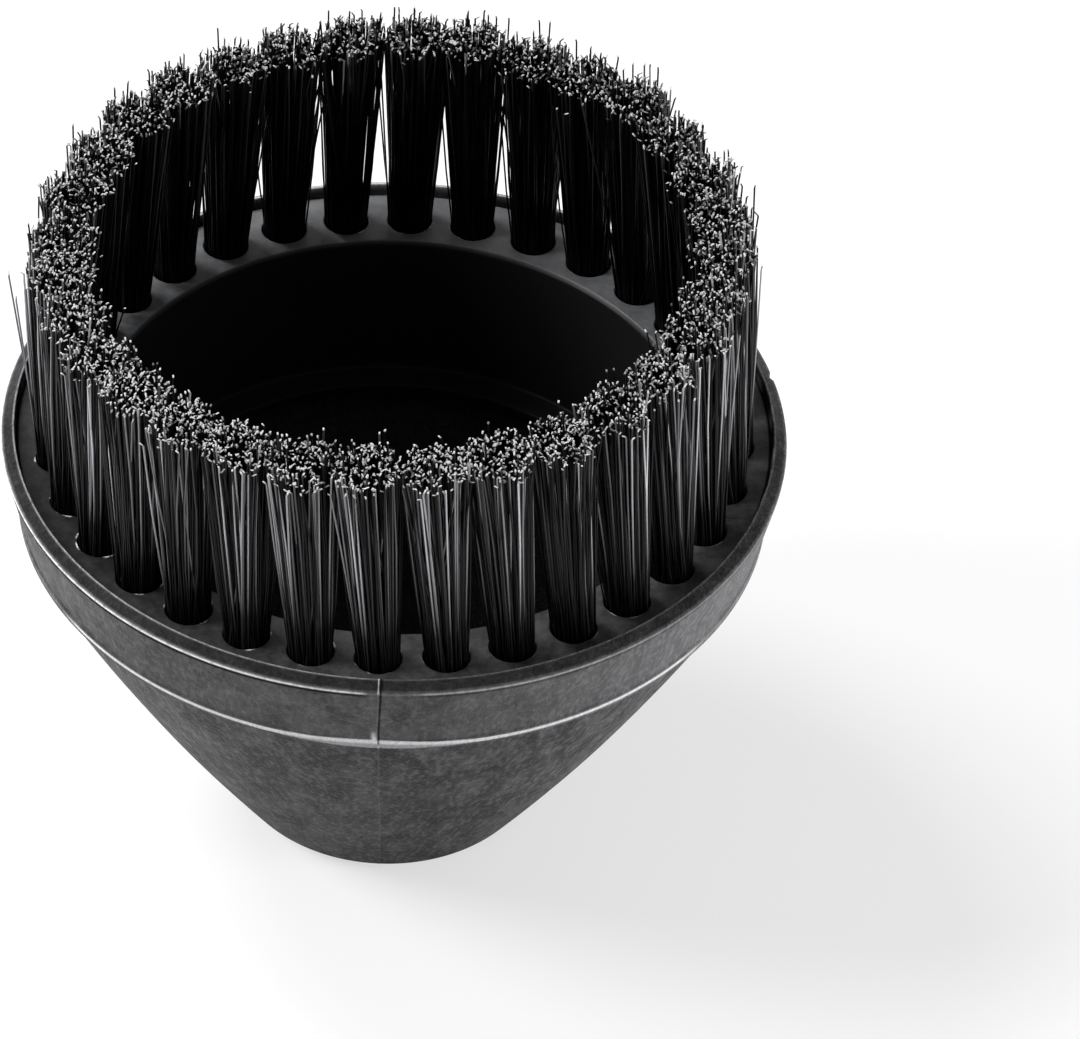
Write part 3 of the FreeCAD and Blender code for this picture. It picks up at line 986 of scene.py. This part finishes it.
def ring_surface(sizes, bell):
    """The ring: a top in equal shares, each with a hole's rim, wall and floor, and a turned skirt below.

    A share's points lie on straight lines from its hole's rim to its border, first at fixed distances from
    the rim and then at shares of what is left. Near the rim the height falls by a exp(-d/b) into the hole and
    rises by f exp(-((d - c)/w)^2), where d is the distance from the rim, c wanders a little and f, the flash
    left by the mould, is uneven round the hole. The points also carry how much flash there is, whose pale
    colour is a painted glint, how much painted shade the plastic has, and how near to the back, where painted
    light makes it paler.
    """
    section = ring_outline(sizes, bell)
    outer, inner = section[0, 0], section[-1, 0]
    hole_r = BELL_HIGH.x - bell.lip_width - sizes.width + sizes.inner_land + sizes.hole_radius
    radius, azimuth = sector_border(inner, outer)
    border = np.stack([radius * np.sin(azimuth), -radius * np.cos(azimuth)], axis=1)
    middle = np.array([0.0, -hole_r])
    way = border - middle
    length = np.linalg.norm(way, axis=1)
    way /= length[:, None]
    bearing = np.arctan2(way[:, 1], way[:, 0])
    left = length - sizes.hole_radius - RIM_LEVELS[-1]
    away = np.concatenate([
        np.repeat(RIM_LEVELS[:, None], len(border), axis=1), RIM_LEVELS[-1] + OUTER_LEVELS[:, None] * left
    ])
    flat = middle + way * (sizes.hole_radius + away)[..., None]
    flat[-1] = border
    walls = middle + way * np.full((3, 1, 1), sizes.hole_radius)
    wall_z = np.array([HOLE_FLOOR, (HOLE_FLOOR + RING_TOP) / 2, RING_TOP - 0.4 * MM])
    chance = np.random.default_rng(11)
    faces = []
    points = []
    marks = []
    rows, columns = len(walls) + len(flat), len(border)
    for index in range(TUFT_COUNT):
        waves = sum(
            chance.uniform(0.2, 1.0) * np.sin(beat * bearing + chance.uniform(0, 2 * math.pi))
            for beat in (1, 2, 3, 5, 8)
        )
        from_front = (index * TUFT_ANGLE + math.pi) % (2 * math.pi) - math.pi
        much = FLASH_LEAST + FLASH_GAIN * hump(from_front - FLASH_MOST_AT, FLASH_MOST_HALF)
        flash = np.clip(waves - 0.3, 0, 1.4) / 1.4 * chance.uniform(0.4, 1.0) * much
        ragged = FLASH_WANDER * (1 + np.sin(7 * bearing + index) * np.sin(3 * bearing + 2 * index))
        lift = hump(away - FLASH_PLACE - ragged, FLASH_HALF) * flash
        drop = RIM_DROP * np.exp(-away / RIM_REACH)
        top_z = RING_TOP + sizes.flash_height * lift - drop
        top_z[-1] = RING_TOP
        height = np.concatenate([np.repeat(wall_z[:, None], columns, axis=1), top_z])
        spin = tuft_turn(index)
        spot = np.concatenate([walls, flat]) @ spin
        first = index * (rows * columns + 1)
        points.append(np.concatenate([spot, height[..., None]], axis=2).reshape(-1, 3))
        points.append(np.append(middle @ spin, HOLE_FLOOR)[None])
        marks.append(np.concatenate([np.zeros((len(walls), columns)), lift]).ravel())
        marks.append([0.0])
        faces.append(grid_quads(rows, columns, False, True, first))
        faces.append(fan(first + np.arange(columns), first + rows * columns))
    share = np.linspace(-0.5, 0.5, ARC_SIDES + 1)[:-1] * TUFT_ANGLE
    turns = (np.arange(TUFT_COUNT)[:, None] * TUFT_ANGLE + share).ravel()
    first = TUFT_COUNT * (rows * columns + 1)
    points.append(turned(section[:, :1], turns[None], section[:, 1:]).reshape(-1, 3))
    marks.append(np.zeros(len(section) * len(turns)))
    faces.append(grid_quads(len(section), len(turns), False, True, first))
    points, faces, kept = welded(np.concatenate(points), faces)
    # Painted shade on the skirt and on the top at both sides of the front; painted light at the back.
    skirt = np.clip((RING_TOP - 0.03 * MM - points[:, 2]) / (0.12 * MM), 0, 1)
    degrees = np.degrees(np.arctan2(points[:, 0], -points[:, 1]))
    beside = 0.12 + 0.72 * hump(degrees + 64, 44.0) + 0.4 * hump(degrees - 72, 44.0)
    back = hump(180 - np.abs(degrees), 58.0)
    measures = {"flash": np.concatenate(marks)[kept], "painted_shade": np.maximum(skirt, beside), "back": back}
    return points, faces, measures


# The tufts

BRISTLE_SIDES = 5
LOCKS = 9
LOCK_PULL = 0.26
TIP_LENGTH = 0.4 * MM
CROSSED_SHARE = 0.14
TALL_SHARE, TALL_LEAST, TALL_MOST = 0.07, 0.5 * MM, 3.0 * MM
STRAY_REACH, STRAY_DROP = 1.3 * MM, 1.2 * MM
# The crown's rise over the free length, its scatter from tuft to tuft, its dome, and the highest a tip goes
CROWN_RISE, CROWN_SCATTER, CROWN_DOME, CROWN_LIMIT = 0.45 * MM, 0.22 * MM, 0.9 * MM, 2.2 * MM
TUFT_SHIFT = 0.15 * MM
TIP_BEND, TALL_BEND = 0.25 * MM, 0.2
ANCHOR_HALF = 0.2 * MM
GOLDEN_ANGLE = math.pi * (3 - math.sqrt(5))
# How the tips have taken a set in use: all of them a step to the left and back, and each a share of its place
SET_STEP = np.array([-0.86, 0.52]) * MM
SET_SHARE = np.array([[-0.025, 0.019], [0.019, 0.016]])


def tuft_lines(sizes, index):
    """The middle lines of one tuft's bristles, in the tuft's own axes, with its hole at the origin.

    Roots fill the hole as a sunflower's seeds fill its head: at the root of their number's share of the
    radius, each a golden angle on from the one before. A tip stands over its root, stretched by the tuft's
    spread, pulled towards the nearest of a few locks and scattered. Some cross over to a place elsewhere in
    the tuft, strays are scattered more, and a few are tall. The line between is straight but for a bow of
    4 t (1 - t) times a small sideways step, where t is the share of the way up. At last the set that the
    bristles have taken moves a tip at p, measured from the brush's axis, by s + M p. Beside the anchor the
    roots part to its two sides.
    """
    chance = np.random.default_rng(100 + index)
    count = sizes.count
    number = np.arange(count)
    reach = np.sqrt((number + 0.5) / count)
    turn = number * GOLDEN_ANGLE + chance.uniform(0, 2 * math.pi)
    disc = np.stack([reach * np.cos(turn), reach * np.sin(turn)], axis=1)
    disc += chance.normal(0, 0.025, disc.shape)
    root = disc * (sizes.root_radius - sizes.radius)
    side = np.where(root[:, 1] < 0, -1.0, 1.0)
    beside = ANCHOR_HALF + sizes.radius + np.abs(root[:, 1]) * 0.85
    parted = np.stack([root[:, 0] * 0.97, side * beside], axis=1)
    spread = np.array([sizes.spread_across, sizes.spread_along])
    splay = chance.uniform(1.0, 1.07, 2)
    locks = chance.uniform(-1, 1, (LOCKS, 2)) * 0.8
    nearest = np.argmin(np.linalg.norm(disc[:, None] - locks, axis=2), axis=1)
    gathered = disc + LOCK_PULL * (locks[nearest] - disc) * chance.uniform(0.2, 1.0, (count, 1))
    crossed = chance.random(count) < CROSSED_SHARE
    gathered = np.where(crossed[:, None], chance.permutation(disc), gathered)
    tip = gathered * spread * splay + chance.normal(0, sizes.tangle, disc.shape)
    tip += chance.normal(0, TUFT_SHIFT, 2)
    tip[:, 1] += sizes.lean
    stray = chance.random(count) < sizes.stray_share
    tip += stray[:, None] * chance.normal(0, STRAY_REACH, disc.shape)
    spin = tuft_turn(index)
    place = (tip - np.array([0.0, hole_circle(bpy.context.scene.dusting_brush)])) @ spin
    tip += (SET_STEP + place @ SET_SHARE) @ spin.T
    top = RING_TOP + sizes.free_length + CROWN_RISE + chance.normal(0, CROWN_SCATTER)
    top = top + chance.normal(0, sizes.unevenness, count) - CROWN_DOME * reach ** 2
    tall = chance.random(count) < TALL_SHARE
    top += np.where(tall, chance.uniform(TALL_LEAST, TALL_MOST, count), 0.0)
    top -= stray * chance.uniform(0, STRAY_DROP, count)
    top = np.minimum(top, TUFT_HIGH.z + CROWN_LIMIT)
    bow = chance.normal(0, sizes.bow, disc.shape)
    steps = np.array([0.0, 0.3, 0.65, 1.0, 1.0])
    mouth = root + disc * 0.02 * MM
    free = mouth[:, None] + (tip - mouth)[:, None] * steps[:, None]
    free = free + bow[:, None] * (4 * steps * (1 - steps))[:, None]
    free[:, -1] += chance.normal(0, TIP_BEND, disc.shape) * np.where(tall, TALL_BEND, 1.0)[:, None]
    height = RING_TOP + (top - TIP_LENGTH - RING_TOP)[:, None] * steps
    height[:, -1] += TIP_LENGTH
    low_z = np.array([HOLE_FLOOR + 0.1 * MM, ANCHOR_HIGH.z + 0.3 * MM])
    low = np.repeat(parted[:, None], 2, axis=1)
    lines = np.concatenate([low, free], axis=1)
    heights = np.concatenate([np.repeat(low_z[None], count, axis=0), height], axis=1)
    shade = chance.random(count)
    # Painted highlights: bristles at the tuft's edge gleam, more on its side away from the axis, and crossed
    # bristles and strays more often; the rest stay dark as painted shade.
    edge = np.clip((reach - 0.6) / 0.25, 0, 1) * np.clip(0.6 - 1.1 * disc[:, 1], 0.1, 1)
    gleam = np.where(crossed | stray, 0.2 + 0.7 * chance.random(count), shade ** 7) * edge
    return np.concatenate([lines, heights[..., None]], axis=2), shade, gleam


def tuft_surface(sizes, index):
    """One tuft's bristles as tubes: about each middle line, rings of points at the bristle's radius."""
    lines, shade, gleam = tuft_lines(sizes, index)
    count, levels = lines.shape[:2]
    corner = np.arange(BRISTLE_SIDES) * 2 * math.pi / BRISTLE_SIDES
    corner = corner + np.random.default_rng(500 + index).uniform(0, 2 * math.pi, (count, 1))
    width = np.full(levels, sizes.radius)
    ring = np.stack([np.cos(corner), np.sin(corner), np.zeros_like(corner)], axis=2)
    points = lines[:, :, None] + ring[:, None] * width[:, None, None]
    hole_r = hole_circle(bpy.context.scene.dusting_brush)
    points[..., :2] = (points[..., :2] - np.array([0.0, hole_r])) @ tuft_turn(index)
    start = np.arange(count)[:, None] * (levels * BRISTLE_SIDES)
    tube = grid_quads(levels, BRISTLE_SIDES, False, True)[:, ::-1]
    tubes = (start[:, :, None] + tube[None]).reshape(-1, 4)
    rim = np.arange(BRISTLE_SIDES)
    feet = start + rim[::-1]
    ends = start + (levels - 1) * BRISTLE_SIDES + rim
    cut_end = np.zeros((count, levels, BRISTLE_SIDES))
    cut_end[:, -1] = 1.0
    rise = np.clip((lines[..., 2:] - RING_TOP) / sizes.free_length, 0, 1)
    measures = {
        "cut_end": cut_end,
        "shade": np.broadcast_to(shade[:, None, None], cut_end.shape),
        "gleam": np.broadcast_to(gleam[:, None, None], cut_end.shape),
        "rise": np.broadcast_to(rise, cut_end.shape),
    }
    return points.reshape(-1, 3), [tubes, feet, ends], measures


def hole_circle(brush):
    """The radius of the circle that the holes' middles lie on."""
    inner = BELL_HIGH.x - brush.bell.lip_width - brush.ring.width
    return inner + brush.ring.inner_land + brush.ring.hole_radius


# Operators


class DUSTING_BRUSH_OT_bell(bpy.types.Operator):
    """Turns the moulded bell and gives it its grained plastic"""

    bl_idname = "dusting_brush.bell"
    bl_label = "Moulded Bell"

    def execute(self, context):
        brush = context.scene.dusting_brush
        points, measures = bell_surface(brush.bell, RING_TOP - brush.ring.thickness)
        rows, columns = points.shape[:2]
        faces = [grid_quads(rows, columns, True, True)]
        piece = new_piece("moulded_bell", points.reshape(-1, 3), faces, **measures)
        hand_over(piece, bell_finish(brush.colours.bell), "body_plastic", BELL_NODE)
        return {"FINISHED"}


class DUSTING_BRUSH_OT_ring(bpy.types.Operator):
    """Makes the ring that carries the tufts, with its holes and its skirt"""

    bl_idname = "dusting_brush.ring"
    bl_label = "Bristle Ring"

    def execute(self, context):
        brush = context.scene.dusting_brush
        points, faces, measures = ring_surface(brush.ring, brush.bell)
        piece = new_piece("drilled_ring", points, faces, **measures)
        hand_over(piece, ring_finish(brush.colours.ring), "ring_plastic", RING_NODE)
        return {"FINISHED"}


class DUSTING_BRUSH_OT_tufts(bpy.types.Operator):
    """Makes every tuft, bristle by bristle"""

    bl_idname = "dusting_brush.tufts"
    bl_label = "Bristle Tufts"

    def execute(self, context):
        brush = context.scene.dusting_brush
        nylon = bristle_finish(brush.colours.bristle, brush.colours.cut_end)
        for index, node in enumerate(TUFT_NODES):
            points, faces, measures = tuft_surface(brush.bristles, index)
            name = node.replace("bristle_tuft", "nylon_tuft")
            piece = new_piece(name, points, faces, flat=(1, 2), **measures)
            hand_over(piece, nylon, "bristle", node)
        return {"FINISHED"}


class DUSTING_BRUSH_OT_anchors(bpy.types.Operator):
    """Gives the wire anchors their steel"""

    bl_idname = "dusting_brush.anchors"
    bl_label = "Wire Anchors"

    def execute(self, context):
        mesh = frame["nodes"][ANCHOR_NODE].data
        mesh.materials.clear()
        mesh.materials.append(wire_finish(context.scene.dusting_brush.colours.wire))
        return {"FINISHED"}


AIM = Vector((18.085, 0.0, 42.235)) * MM
FLOOR_HALF = 3.0
LAMP_DISTANCE = 1.2
KEY_WAY = Vector((-0.742, -0.1, 0.63))
KEY_SIZE = 0.45
HIGH_WAY = Vector((-0.46, 0.34, 0.82))
HIGH_SIZE = 0.5
SIDE_WAY = Vector((0.9, -0.3, 0.22))
SIDE_SIZE = 0.6
ZENITH_SHARE = 0.22
FRONT_SHARE = 0.5
RIGHT_GAIN = 0.25


class DUSTING_BRUSH_OT_studio(bpy.types.Operator):
    """Sets up the floor, the lamps, the world's light and the camera"""

    bl_idname = "dusting_brush.studio"
    bl_label = "Studio"

    def execute(self, context):
        brush = context.scene.dusting_brush
        self.floor(brush)
        self.lamp(context, "key_lamp", KEY_WAY, KEY_SIZE, brush.studio.key_power)
        self.lamp(context, "high_lamp", HIGH_WAY, HIGH_SIZE, brush.studio.high_power)
        self.lamp(context, "side_lamp", SIDE_WAY, SIDE_SIZE, brush.studio.side_power)
        self.world(context, brush.studio)
        self.camera(context, brush.studio)
        context.scene.view_settings.view_transform = "Standard"
        return {"FINISHED"}

    def floor(self, brush):
        """A flat pale sheet at the height that the brush stands on, white to the camera's eye."""
        corners = np.array([(-1, -1), (1, -1), (1, 1), (-1, 1)]) * FLOOR_HALF
        points = np.column_stack([corners, np.full(4, CAD_LOW.z)])
        piece = new_piece("studio_floor", points, [np.array([[0, 1, 2, 3]])])
        finish = Finish(bpy.data.materials.new("pale_floor"))
        paper = finish.node("ShaderNodeBsdfDiffuse", values={"Color": (*brush.colours.floor, 1.0)})
        glow = finish.node("ShaderNodeEmission", values={"Color": (1.0, 1.0, 1.0, 1.0), "Strength": 1.0})
        mixed = finish.node("ShaderNodeMixShader", values={0: finish.seen(0.15) * 0.58, 1: paper, 2: glow})
        finish.node("ShaderNodeOutputMaterial", values={"Surface": mixed})
        piece.data.materials.append(finish.holder)

    def lamp(self, context, name, way, size, power):
        """A soft round lamp in one direction from the brush, turned to it."""
        light = bpy.data.lights.new(name, "AREA")
        light.shape = "DISK"
        light.size = size
        light.energy = power
        lamp = bpy.data.objects.new(name, light)
        middle = Vector((0, 0, (CAD_LOW.z + CAD_HIGH.z) / 2))
        lamp.matrix_world = Matrix.Translation(middle + way.normalized() * LAMP_DISTANCE) @ (
            way.to_track_quat("Z", "Y").to_matrix().to_4x4()
        )
        context.scene.collection.objects.link(lamp)

    def world(self, context, studio):
        """Light from low down at the sides and the back that fades overhead and towards the camera, and a
        plain white background to the eye and in reflections."""
        finish = Finish(bpy.data.worlds.new("studio_world"))
        direction = finish.node("ShaderNodeTexCoord", output="Generated")
        across, along, upward = (
            finish.node("ShaderNodeSeparateXYZ", values={0: direction}, output=axis) for axis in "XYZ"
        )
        low = 1 - upward.above(0.36, 0.5)
        aside = (across * across + along * 0.45 + 0.45).at_most(1.0)
        height_share = ZENITH_SHARE + low * (1 - ZENITH_SHARE)
        side_share = (FRONT_SHARE + aside * (1 - FRONT_SHARE)) * (1 + across * RIGHT_GAIN)
        level = studio.world_level * height_share * side_share
        backdrop = 1 - upward.above(0.12, 0.2)
        strength = level + finish.seen() * backdrop * (1 - level)
        values = {"Color": (1.0, 1.0, 1.0, 1.0), "Strength": strength}
        light = finish.node("ShaderNodeBackground", values=values)
        finish.node("ShaderNodeOutputWorld", values={"Surface": light})
        context.scene.world = finish.holder

    def camera(self, context, studio):
        """The camera at its distance from the point it looks at, raised and rolled as in the photograph."""
        lens = bpy.data.cameras.new("camera")
        lens.sensor_width = 36.0
        lens.lens = studio.lens
        lens.clip_start = 0.05
        lens.clip_end = 20.0
        camera = bpy.data.objects.new("camera", lens)
        back = Vector((0, -math.cos(studio.elevation), math.sin(studio.elevation)))
        turn = Matrix.Rotation(math.pi / 2 - studio.elevation, 4, "X") @ Matrix.Rotation(studio.roll, 4, "Z")
        camera.matrix_world = Matrix.Translation(AIM + back * studio.distance) @ turn
        context.scene.collection.objects.link(camera)
        context.scene.camera = camera


OPERATORS = (
    DUSTING_BRUSH_OT_bell,
    DUSTING_BRUSH_OT_ring,
    DUSTING_BRUSH_OT_tufts,
    DUSTING_BRUSH_OT_anchors,
    DUSTING_BRUSH_OT_studio,
)


class DUSTING_BRUSH_PT_panel(bpy.types.Panel):
    """Lists the pieces of the brush and their settings"""

    bl_idname = "DUSTING_BRUSH_PT_panel"
    bl_label = "Dusting Brush"
    bl_space_type = "VIEW_3D"
    bl_region_type = "UI"
    bl_category = "Dusting Brush"

    def draw(self, context):
        brush = context.scene.dusting_brush
        for operator in OPERATORS:
            self.layout.operator(operator.bl_idname)
        for group in (brush.bell, brush.ring, brush.bristles, brush.colours, brush.studio):
            box = self.layout.box()
            for name in group.__annotations__:
                box.prop(group, name)


CLASSES = (
    BellSizes,
    RingSizes,
    BristleSizes,
    BrushColours,
    StudioSettings,
    BrushSettings,
    *OPERATORS,
    DUSTING_BRUSH_PT_panel,
)


def register():
    """Registers the classes and hangs the settings on the scene."""
    for group in CLASSES:
        bpy.utils.register_class(group)
    bpy.types.Scene.dusting_brush = bpy.props.PointerProperty(
        type=BrushSettings, name="Dusting brush", description="Settings of the dusting brush"
    )


def unregister():
    """Takes the settings and the classes away again."""
    del bpy.types.Scene.dusting_brush
    for group in reversed(CLASSES):
        bpy.utils.unregister_class(group)


def main():
    """Builds every piece and the studio."""
    register()
    bpy.ops.dusting_brush.bell()
    bpy.ops.dusting_brush.ring()
    bpy.ops.dusting_brush.tufts()
    bpy.ops.dusting_brush.anchors()
    bpy.ops.dusting_brush.studio()


if __name__ == "__main__":
    main()
